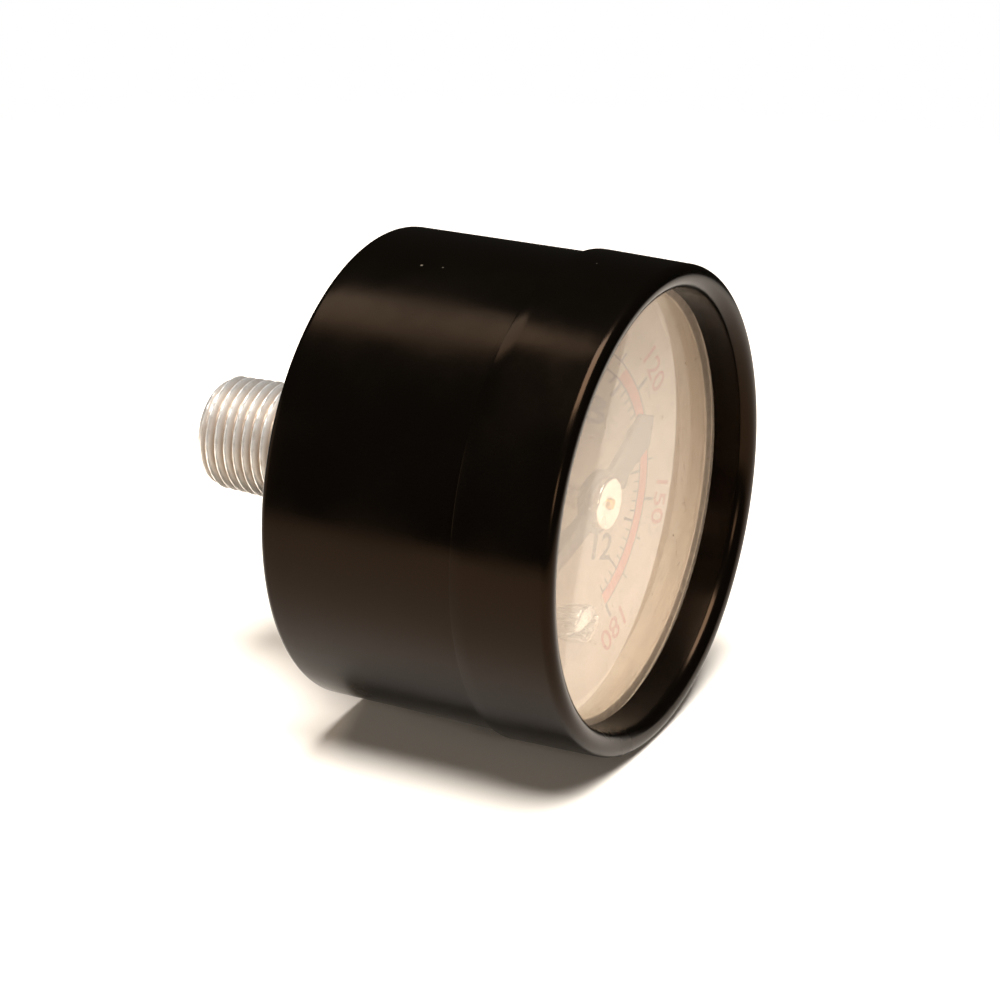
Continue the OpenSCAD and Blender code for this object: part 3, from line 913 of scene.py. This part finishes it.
@dataclass
class Dial:
    """Off-white printed dial with an outer red scale and an inner black one.

    Marks are given as (length, width), and numerals as (radius of the middle, height).
    """

    radius: float = 19.6
    hole: float = 2.0
    zero_angle: float = -135.0
    sweep: float = 270.0
    full_psi: float = 180.0
    per_kg: float = 21.34
    inner_line: float = 11.45
    outer_line: float = 12.7
    line_width: float = 0.14
    ink_height: float = 0.015
    band_under: float = 0.003
    warn_from: float = 33.5
    psi_major: tuple[float, float] = (1.5, 0.3)
    psi_minor: tuple[float, float] = (0.85, 0.16)
    kg_major: tuple[float, float] = (1.45, 0.24)
    kg_minor: tuple[float, float] = (0.75, 0.14)
    psi_numeral: tuple[float, float] = (15.4, 2.15)
    psi_unit: tuple[float, float] = (13.6, 1.6)
    kg_numeral: tuple[float, float] = (8.2, 2.3)
    kg_unit: tuple[float, float] = (7.6, 1.5)
    red_weight: float = 0.015
    black_weight: float = 0.02

    def plate(self, back: float, face: float) -> None:
        """Make the dial's disc with its centre hole.

        Args:
            back: forward distance of its back.
            face: forward distance of its printed face.
        """
        profile = rounded(
            [
                (self.hole, back, 0.0),
                (self.radius, back, 0.1),
                (self.radius, face, 0.1),
                (self.hole, face, 0.1),
            ],
            closed=True,
        )
        paint = Coating(
            "matt_off_white_dial_paint",
            "#bcac9b",
            "#b3a28f",
            roughness=0.62,
            cloud_mm=6.0,
            grain_mm=0.16,
            grain_height_mm=0.006,
            speck_share=0.22,
        )
        disc = turned("dial_disc", refined(profile, 2.0), closed=True)
        dress(disc, paint.material(), Body.HOUSING, "dial_paint", "dial_plate")

    def marks(self) -> list[np.ndarray]:
        """Strips of the two lines, the psi marks outside them and the kg/cm² marks inside."""
        half = self.line_width / 2
        last = self.zero_angle + self.sweep
        strips = [
            arc_strip(r - half, r + half, self.zero_angle, last) for r in (self.inner_line, self.outer_line)
        ]
        for psi in range(0, int(self.full_psi) + 1, 10):
            angle = self.zero_angle + psi * self.sweep / self.full_psi
            length, width = self.psi_minor if psi % 30 else self.psi_major
            strips.append(tick(angle, self.outer_line, self.outer_line + length, width))
        for mark in range(int(self.sweep / self.per_kg * 5) + 1):
            angle = self.zero_angle + mark * self.per_kg / 5
            length, width = self.kg_minor if mark % 5 else self.kg_major
            strips.append(tick(angle, self.inner_line - length, self.inner_line, width))
        return strips

    def print_scales(self, face: float) -> None:
        """Print the lines, marks, band and numbers as thin ink on the face.

        Args:
            face: forward distance of the printed face.
        """
        high = face + self.ink_height
        half = self.line_width / 2
        last = self.zero_angle + self.sweep
        ink = Coating("black_pad_printed_ink", "#2b2a2a", "#3a3733", roughness=0.5).material()
        black = flat_shape("print_black_marks", self.marks(), face, high)
        dress(black, ink, Body.HOUSING, "dial_paint")
        strip = arc_strip(self.inner_line + half, self.outer_line - half, self.warn_from, last)
        orange = Coating("orange_red_printed_ink", "#c4532e", "#b54826", roughness=0.5)
        band = flat_shape("print_warning_band", [strip], face, high - self.band_under)
        dress(band, orange.material(), Body.HOUSING, "dial_paint")
        red_items = []
        for psi in range(0, int(self.full_psi) + 1, 30):
            angle = self.zero_angle + psi * self.sweep / self.full_psi
            red_items.append((str(psi), angle, *self.psi_numeral, angle))
        red_items.append(("psi", 180.0, *self.psi_unit, 0.0))
        red = Coating("red_pad_printed_ink", "#ad4526", "#9c3c20", roughness=0.5)
        outer = joined("print_red_numbers", lettering(red_items, face, high, self.red_weight))
        dress(outer, red.material(), Body.HOUSING, "dial_paint")
        kg_items = [
            (str(kg), self.zero_angle + kg * self.per_kg, *self.kg_numeral, 0.0) for kg in range(0, 13, 2)
        ]
        kg_items.append(("kg/cm²", 180.0, *self.kg_unit, 0.0))
        inner = joined("print_black_numbers", lettering(kg_items, face, high, self.black_weight))
        dress(inner, ink, Body.HOUSING, "dial_paint")


@dataclass
class PanScrew:
    """Slotted pan-head screw, seen from its head."""

    head_radius: float
    head_height: float
    shank_radius: float
    shank_length: float
    slot_width: float
    slot_depth: float
    dome: float = 0.22
    edge_from: float = 0.94
    edge_drop: float = 0.12
    slot_side: float = 0.05

    def mesh(
        self, name: str, places: list[tuple[float, float]], seat_at: float, facing: float, turn: float
    ) -> bpy.types.Object:
        """Make screws as domed discs whose middle is cut down along a slot.

        The head's height at share s of its radius is h (1 - 0.22 s^2), less a rounding that
        grows to 0.12 from share 0.94 to the edge, and less the slot's depth where the point
        is within half the slot's width of the slot's line.

        Args:
            name: name of the new object.
            places: right and up of each screw.
            seat_at: forward distance of the face that the head sits on.
            facing: 1 where the head looks forward, -1 where it looks back.
            turn: direction of the slot in degrees.

        Returns:
            The object with all the screws.
        """
        t = np.linspace(0, 2 * np.pi, 96, endpoint=False)
        share = np.concatenate([np.linspace(0, self.edge_from, 30), [0.965, 0.985, 1.0]])[:, None]
        across = share * self.head_radius * np.sin(t - math.radians(turn))
        rounding = np.clip((share - self.edge_from) / (1 - self.edge_from), 0, 1) ** 2
        top = self.head_height * (1 - self.dome * share**2) - self.edge_drop * rounding
        cut = np.clip((self.slot_width / 2 - np.abs(across)) / self.slot_side + 0.5, 0, 1)
        rows = [
            (self.head_radius, 0.0),
            (self.shank_radius, 0.0),
            (self.shank_radius, -self.shank_length),
            (0.0, -self.shank_length),
        ]
        below = [np.full((1, t.size), z) for _, z in rows]
        r = np.concatenate([share * self.head_radius + 0 * t] + [np.full((1, t.size), r) for r, _ in rows])
        z = seat_at + facing * np.concatenate([top - cut * self.slot_depth] + below)
        parts = [
            grid_mesh(name, np.stack([right + r * np.cos(t), up + r * np.sin(t), z], axis=-1))
            for right, up in places
        ]
        return merged_objects(name, parts)


def merged_objects(name: str, parts: list[bpy.types.Object]) -> bpy.types.Object:
    """Join finished objects into one that keeps the name, without changing their faces."""
    work = bmesh.new()
    for part in parts:
        work.from_mesh(part.data)
    mesh = bpy.data.meshes.new(name)
    work.to_mesh(mesh)
    work.free()
    for part in parts:
        old = part.data
        bpy.data.objects.remove(part)
        bpy.data.meshes.remove(old)
    mesh.shade_smooth()
    mesh.set_sharp_from_angle(angle=math.radians(CREASE))
    obj = bpy.data.objects.new(name, mesh)
    bpy.context.scene.collection.objects.link(obj)
    return obj


def ray_radius(outline: np.ndarray, angles: np.ndarray) -> np.ndarray:
    """Radius at which rays from the centre leave a star-shaped outline.

    A ray at angle a crosses the side from p to q at cross(p, q - p) / cross(u, q - p), where u
    is the ray's direction; the largest crossing within a side is kept.

    Args:
        outline: array (n, 2) of corners.
        angles: ray angles in radians.

    Returns:
        Array of radii.
    """
    p, q = outline, np.roll(outline, -1, axis=0)
    side = q - p
    u = np.stack([np.cos(angles), np.sin(angles)], axis=-1)
    cross_us = u[:, None, 0] * side[None, :, 1] - u[:, None, 1] * side[None, :, 0]
    cross_ps = (p[:, 0] * side[:, 1] - p[:, 1] * side[:, 0])[None]
    cross_pu = p[None, :, 0] * u[:, None, 1] - p[None, :, 1] * u[:, None, 0]
    safe = np.where(np.abs(cross_us) < 1e-9, 1e-9, cross_us)
    radius, share = cross_ps / safe, cross_pu / safe
    hit = (radius > 0) & (share > -1e-6) & (share < 1 + 1e-6)
    return np.where(hit, radius, 0).max(axis=1)


@dataclass
class Pointer:
    """Flat black pointer on a bright bush, at zero pressure."""

    needle: float = 12.8
    needle_width: float = 2.2
    shoulder: float = 1.0
    shoulder_width: float = 0.56
    tail: float = 10.5
    tail_width: float = 3.5
    tail_point: float = 1.7
    waist: float = 2.0
    edge: float = 0.06
    boss: float = 2.7
    hub: float = 2.2
    zero_angle: float = -135.0

    def build(self, low: float, high: float, hub_top: float) -> None:
        """Make the pointer's blade and its hub.

        Args:
            low: forward distance of the blade's back.
            high: forward distance of the blade's face.
            hub_top: forward distance of the hub's face.
        """
        root, tail = self.needle_width / 2, self.tail_width / 2
        point = self.shoulder_width / 2
        outline = np.array(
            [
                [0, root],
                [-self.waist, root],
                [-self.tail + self.tail_point, tail],
                [-self.tail, 0],
                [-self.tail + self.tail_point, -tail],
                [-self.waist, -root],
                [0, -root],
                [self.needle - self.shoulder, -point],
                [self.needle, 0],
                [self.needle - self.shoulder, point],
            ]
        )
        turn = math.radians(90 - self.zero_angle)
        corners = np.arctan2(outline[:, 1], outline[:, 0])
        angles = np.unique(np.concatenate([np.linspace(-np.pi, np.pi, 361)[:-1], corners]))
        radius = np.maximum(ray_radius(outline, angles), self.boss)
        inner = radius * (1 - self.edge / radius)
        rows = np.stack([0 * radius, inner, radius, radius, inner, 0 * radius])
        levels = np.array([low, low, low + self.edge, high - self.edge, high, high])[:, None]
        blade = stacked("pointer_blade", rows, levels, angles + turn)
        paint = Coating("matt_black_pointer_paint", "#2e2b27", "#3d3932", roughness=0.42, grain_mm=0.2)
        dress(blade, paint.material(), Body.POINTER, "pointer_paint", "pointer")
        profile = rounded(
            [
                (0.53, low - 0.8, 0.0),
                (0.9, low - 0.8, 0.1),
                (0.9, high, 0.0),
                (self.hub, high, 0.05),
                (self.hub, hub_top, 0.16),
                (0.5, hub_top, 0.1),
            ],
            closed=True,
        )
        bright = Metal(
            "bright_nickel_plated_bush", "#e9e6df", "#b9b2a6", roughness=0.22, mark_mm=0.2, stretch=(1, 1, 1)
        )
        bush = turned("hub_disc", profile, closed=True)
        dress(bush, bright.material(), Body.POINTER, "bright_metal", "pointer_hub")


@dataclass
class Stem:
    """Threaded stem, wrench flats and the block inside the case, in one turned and milled piece."""

    pitch: float = 25.4 / 27
    taper: float = 1 / 32
    end_radius: float = 4.99
    thread_depth: float = 0.62
    inlet: float = 1.5
    flats: float = 11.1
    neck: float = 7.2
    flange: float = 9.0
    boss: float = 6.5
    arm_width: float = 6.0
    arm_angle: float = 115.0
    long_arm: float = 17.0
    short_arm: float = 13.4
    rounding: float = 1.1
    thread_gap: float = 0.35
    relief: float = 0.1
    chamfer: float = 0.55
    chamfer_radius: float = 5.6
    flats_end: float = -0.9
    neck_start: float = -0.8
    flange_height: float = 2.0
    bore_end: float = 2.0

    def thread_radius(
        self, forward: np.ndarray, angles: np.ndarray, end: float
    ) -> tuple[np.ndarray, np.ndarray]:
        """Radius of the taper thread and how deep each point is in its groove.

        The crest grows by 1/32 of the distance from the end. The groove is a rounded triangle
        wave of distance / pitch - angle / (2 pi), and the stem's end is rounded off.

        Args:
            forward: array (rows, 1) of forward distances.
            angles: array (1, columns) of angles.
            end: forward distance of the stem's end.

        Returns:
            Radii and depths (0 at the crest, 1 at the root).
        """
        out = forward - end
        crest = self.end_radius + out * self.taper
        phase = np.mod(out / self.pitch - angles / (2 * np.pi), 1.0)
        wave = 1 - np.abs(2 * phase - 1)
        depth = np.clip((wave - 0.1) / 0.8, 0, 1)
        depth = depth * depth * (3 - 2 * depth) * 0.35 + depth * 0.65
        rounding = np.clip(1 - out / self.rounding, 0, 1)
        nose = self.end_radius - 0.2 - 1.0 * (1 - np.sqrt(np.clip(1 - rounding**2, 0, 1)))
        cut = crest - depth * self.thread_depth
        radius = np.where(out < self.rounding, np.minimum(cut, nose + 0 * angles), cut)
        return radius, depth * np.clip(out / self.rounding, 0, 1)

    def build(self, end: float, thread_stop: float, block_top: float, floor: float) -> None:
        """Make the whole socket as one stack of outlines.

        Args:
            end: forward distance of the stem's end.
            thread_stop: forward distance where the wrench flats begin.
            block_top: forward distance of the block's front face.
            floor: thickness of the case's back.
        """
        arm = math.radians(self.arm_angle)
        corners = [math.pi / 4 + k * math.pi / 2 for k in range(4)]
        long_end = [arm + s * math.atan2(self.arm_width / 2, self.long_arm) for s in (-1, 1)]
        short_end = [arm + math.pi + s * math.atan2(self.arm_width / 2, self.short_arm) for s in (-1, 1)]
        even = np.linspace(0, 2 * np.pi, 144, endpoint=False)
        angles = np.unique(np.mod(np.concatenate([even, corners, long_end, short_end]), 2 * np.pi))
        ring = np.ones((1, angles.size))
        stations = np.linspace(end, thread_stop - self.thread_gap, 260)[:, None]
        thread, depth = self.thread_radius(stations, angles[None], end)
        square = self.flats / 2 / np.maximum(np.abs(np.cos(angles)), np.abs(np.sin(angles)))
        body = np.minimum(square, self.neck)[None]
        chamfered = np.minimum(square, self.neck - self.chamfer)[None]
        off = angles - arm
        side = self.arm_width / 2 / np.maximum(np.abs(np.sin(off)), 1e-6)
        reach = np.where(np.cos(off) > 0, self.long_arm, self.short_arm)
        reach = reach / np.maximum(np.abs(np.cos(off)), 1e-6)
        block = np.maximum(np.minimum(side, reach), self.boss)[None]
        small = thread[-1:].min() - self.relief
        bore = [
            (0 * ring, block_top - self.bore_end),
            (self.inlet * ring, block_top - self.bore_end),
            (self.inlet * ring, end + 0.3),
            ((self.inlet + 0.3) * ring, end),
        ]
        rows = [
            *bore,
            (thread[:1], end),
            (thread, stations),
            (small * ring, thread_stop - 0.3),
            (small * ring, thread_stop - 0.02),
            (np.minimum(chamfered, self.chamfer_radius), thread_stop),
            (chamfered, thread_stop),
            (body, thread_stop + 0.4),
            (body, self.flats_end),
            (self.neck * ring, self.neck_start),
            (self.neck * ring, floor),
            (self.flange * ring, floor),
            (self.flange * ring, floor + self.flange_height),
            (block, floor + self.flange_height),
            (block, block_top),
            (0 * ring, block_top),
        ]
        radii = np.concatenate([r for r, _ in rows])
        heights = np.concatenate([np.broadcast_to(z, r.shape) for r, z in rows])
        groove = np.zeros_like(radii)
        # Painted shade: the inside of the bore gets 0.9 of the root's brown, and the thread gets its groove
        # depth.
        groove[: len(bore)] = 0.9
        start = len(bore) + 1
        groove[start : start + len(stations)] = depth
        obj = stacked("stem_and_socket", radii, heights, angles, groove, crease=40.0)
        dress(obj, PlatedThread().material(), Body.HOUSING, "stem_plate", "socket")


@dataclass
class TubeSpring:
    """Flattened C-shaped tube that the pressure unwinds."""

    radius: float = 15.0
    height: float = 5.0
    width: float = 1.9
    wall: float = 0.25
    root: float = 111.0
    end: float = -137.5

    def build(self, middle: float) -> None:
        """Make the tube: a stadium outline carried round an arc, with its bore.

        Args:
            middle: forward distance of the tube's middle.
        """
        sweep = np.radians(np.linspace(self.end, self.root, 160))
        loops = []
        for half in (self.width / 2, self.width / 2 - self.wall):
            t = np.linspace(0, 2 * np.pi, 40, endpoint=False)
            across = half * np.cos(t)
            along = half * np.sin(t) + np.sign(np.sin(t)) * (self.height - self.width) / 2
            loops.append(np.stack([across, along], axis=-1))
        rows = []
        for angle_set, loop in ((sweep, loops[0]), (sweep[::-1], loops[1])):
            r = self.radius + loop[None, :, 0]
            a = angle_set[:, None]
            forward = middle + loop[None, :, 1] + 0 * a
            rows.append(np.stack([r * np.cos(a), r * np.sin(a), forward], axis=-1))
        tube = grid_mesh("tube_spring", np.concatenate(rows), wrap_rows=True)
        bronze = Metal(
            "drawn_phosphor_bronze", "#b5723f", "#7c4c2a", roughness=0.32, mark_mm=0.15, stretch=(1, 12, 1)
        )
        dress(tube, bronze.material(), None, "bronze", "bourdon_tube")
        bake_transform(tube)


@dataclass
class Works:
    """The movement's turned and blanked pieces, which keep the frame's shapes."""

    flat_brass: tuple[str, ...] = ("back_plate", "front_plate", "sector_gear", "link")
    turned_brass: tuple[str, ...] = (
        "tube_tip",
        "plate_pillars",
        "dial_posts",
        "tip_rivet",
        "link_rivet",
        "hairspring_collet",
        "hairspring_stud",
        "restrictor",
        "pinion_arbor",
    )

    def finish(self) -> None:
        """Give each kept node its metal."""
        blanked = Metal(
            "rolled_and_blanked_brass", "#c9a45c", "#8e6d35", roughness=0.34, mark_mm=0.14, stretch=(14, 1, 1)
        )
        turned_brass = Metal(
            "turned_brass", "#cda85e", "#93713a", roughness=0.28, mark_mm=0.1, stretch=(1, 0.4, 1)
        )
        steel = Metal(
            "turned_steel", "#9c9a96", "#6b6761", roughness=0.3, mark_mm=0.1, stretch=(1, 0.4, 1)
        )
        zinc = Metal("zinc_plated_screw_steel", "#b7b5ae", "#8b877d", roughness=0.34, mark_mm=0.3)
        spring = Metal(
            "rolled_phosphor_bronze_strip",
            "#b08a4e",
            "#7d5c2f",
            roughness=0.3,
            mark_mm=0.08,
            stretch=(1, 6, 1),
        )
        groups = (
            (blanked, self.flat_brass),
            (turned_brass, self.turned_brass),
            (steel, ("sector_arbor",)),
            (zinc, ("plate_screws", "movement_screws")),
            (spring, ("hairspring",)),
        )
        for metal, nodes in groups:
            material = metal.material()
            for node in nodes:
                redress(node, material)


@dataclass
class Studio:
    """Pale floor, soft lights and the camera."""

    lens: float = 115.23
    azimuth: float = -64.69
    elevation: float = 4.26
    roll: float = 8.93
    distance: float = 272.0
    aim: tuple[float, float, float] = (-1.10, -18.33, -1.37)
    lie: float = 20.3
    rest_radius: float = 21.04
    floor_size: float = 0.2

    def axes(self) -> Matrix:
        """Rotation whose Z is the floor's upward normal: the dial's up leaned over by lie."""
        return Matrix.Rotation(-math.radians(self.lie), 3, "Y")

    def camera(self) -> None:
        """Set the camera at its azimuth, elevation and roll, looking at aim from distance."""
        a, e = math.radians(self.azimuth), math.radians(self.elevation)
        back = Vector((math.sin(a) * math.cos(e), -math.cos(a) * math.cos(e), math.sin(e)))
        data = bpy.data.cameras.new("camera")
        data.lens, data.sensor_width = self.lens, 36.0
        data.clip_start, data.clip_end = 0.01, 20.0
        camera = bpy.data.objects.new("camera", data)
        camera.location = Vector(self.aim) * MM + back * self.distance * MM
        turn = Matrix.Rotation(math.radians(self.roll), 3, "Z")
        facing = (-back).to_track_quat("-Z", "Y").to_matrix() @ turn
        camera.rotation_euler = facing.to_euler()
        bpy.context.scene.collection.objects.link(camera)
        bpy.context.scene.camera = camera

    def floor(self) -> None:
        """Lay a pale floor under the bezel, clear from below and fading out at its rim."""
        mesh = bpy.data.meshes.new("floor")
        size = self.floor_size
        corners = [(-size, -size, 0.0), (size, -size, 0.0), (size, size, 0.0), (-size, size, 0.0)]
        mesh.from_pydata(corners, [], [(0, 1, 2, 3)])
        obj = bpy.data.objects.new("floor", mesh)
        obj.matrix_world = self.axes().to_4x4() @ Matrix.Translation((0, 0, -self.rest_radius * MM))
        bpy.context.scene.collection.objects.link(obj)
        material, tree, place, out = blank("pale_matt_floor")
        tone = mixed(tree, ramp(tree, noise(tree, place, 60.0, 3.0), 0.3, 0.7), "#f3eadf", "#f0e7db")
        matt = put(tree, "ShaderNodeBsdfDiffuse", {"Color": tone}).outputs[0]
        clear = put(tree, "ShaderNodeBsdfTransparent").outputs[0]
        under = put(tree, "ShaderNodeNewGeometry").outputs["Backfacing"]
        out_from_middle = put(tree, "ShaderNodeVectorMath", {0: place}, operation="LENGTH").outputs["Value"]
        rim = ramp(tree, out_from_middle, 0.5 * size, 0.95 * size)
        whole = put(tree, "ShaderNodeMixShader", {0: larger(tree, under, rim), 1: matt, 2: clear}).outputs[0]
        tree.links.new(whole, out.inputs["Surface"])
        mesh.materials.append(material)

    def area(
        self,
        name: str,
        direction: tuple[float, float, float],
        distance: float,
        size: float,
        power: float,
        tint: str,
    ) -> None:
        """Add a square soft light.

        Args:
            name: the light's name.
            direction: direction of the light from the gauge, in the floor's axes.
            distance: metres from the gauge.
            size: metres across.
            power: watts.
            tint: hex colour.
        """
        data = bpy.data.lights.new(name, "AREA")
        data.shape, data.size, data.energy = "SQUARE", size, power
        data.color = linear(tint)[:3]
        light = bpy.data.objects.new(name, data)
        away = (self.axes() @ Vector(direction)).normalized()
        light.location = away * distance + Vector((0, -0.012, 0))
        light.rotation_euler = away.to_track_quat("Z", "Y").to_euler()
        bpy.context.scene.collection.objects.link(light)

    def world(self) -> None:
        """White to look at, dim to be lit or reflected by."""
        world = bpy.data.worlds.new("studio")
        bpy.context.scene.world = world
        world.use_nodes = True
        tree = world.node_tree
        tree.nodes.clear()
        seen = put(tree, "ShaderNodeBackground", {"Color": linear("#ffffff"), "Strength": 1.0}).outputs[0]
        room = put(tree, "ShaderNodeBackground", {"Color": linear("#c9bfb4"), "Strength": 0.03}).outputs[0]
        direct = put(tree, "ShaderNodeLightPath").outputs["Is Camera Ray"]
        whole = put(tree, "ShaderNodeMixShader", {0: direct, 1: room, 2: seen}).outputs[0]
        out = put(tree, "ShaderNodeOutputWorld")
        tree.links.new(whole, out.inputs["Surface"])

    def build(self) -> None:
        """Set up camera, floor, lights and the view's tone."""
        self.camera()
        self.floor()
        self.area("key_overhead", (-0.18, -0.16, 1.0), 0.6, 0.4, 12.0, "#ffffff")
        self.area("camera_side", (-0.8, -0.62, 0.36), 0.55, 0.12, 0.6, "#fff8f0")
        self.area("band_panel", (0.08, 0.48, 0.87), 0.5, 0.15, 0.34, "#fff0dc")
        self.area("stem_fill", (-0.55, 0.85, 0.15), 0.5, 0.3, 0.5, "#fff4e6")
        self.world()
        bpy.context.scene.view_settings.view_transform = "Standard"
        LOG.info("studio: camera, floor, lights")


def main() -> None:
    """Build the gauge's pieces in order, then the studio."""
    logging.basicConfig(level=logging.INFO, format="%(name)s: %(message)s")
    rear, crest = height_of("bezel_ring")
    dial_back, dial_face = height_of("dial_plate")
    lens_back, lens_front = height_of("lens")
    blade_low, blade_high = height_of("pointer")
    stem_end, block_top = height_of("socket")
    tube_low, tube_high = height_of("bourdon_tube")
    Studio().build()
    shell = CaseShell()
    shell.build(rear)
    Bezel().build(rear, crest, lens_front)
    Window().build(dial_face, lens_back, lens_front, lens_back - height_of("lens_gasket")[0])
    dial = Dial()
    dial.plate(dial_back, dial_face)
    dial.print_scales(dial_face)
    zinc = Metal("zinc_plated_dial_screw", "#d4d2cc", "#a39e94", roughness=0.25, mark_mm=0.3).material()
    dial_places = [tuple(clock(a, shell.dial_screw_circle)) for a in shell.screw_angles]
    screws = PanScrew(1.6, 1.0, 0.85, 4.0, 0.6, 0.5).mesh("screws_dial", dial_places, dial_face, 1, 40.0)
    dress(screws, zinc, Body.HOUSING, "zinc_screws", "dial_screws")
    case_places = [tuple(clock(a, shell.screw_circle)) for a in shell.screw_angles]
    rear_screws = PanScrew(1.9, 1.1, 0.95, 3.6, 0.5, 0.55).mesh("screws_case", case_places, 0.0, -1, 25.0)
    dress(rear_screws, zinc, Body.HOUSING, "zinc_screws", "case_screws")
    Pointer().build(blade_low, blade_high, height_of("pointer_hub")[1])
    Stem().build(stem_end, stem_end + 10.3, block_top, shell.floor)
    TubeSpring().build((tube_low + tube_high) / 2)
    Works().finish()


if __name__ == "__main__":
    main()
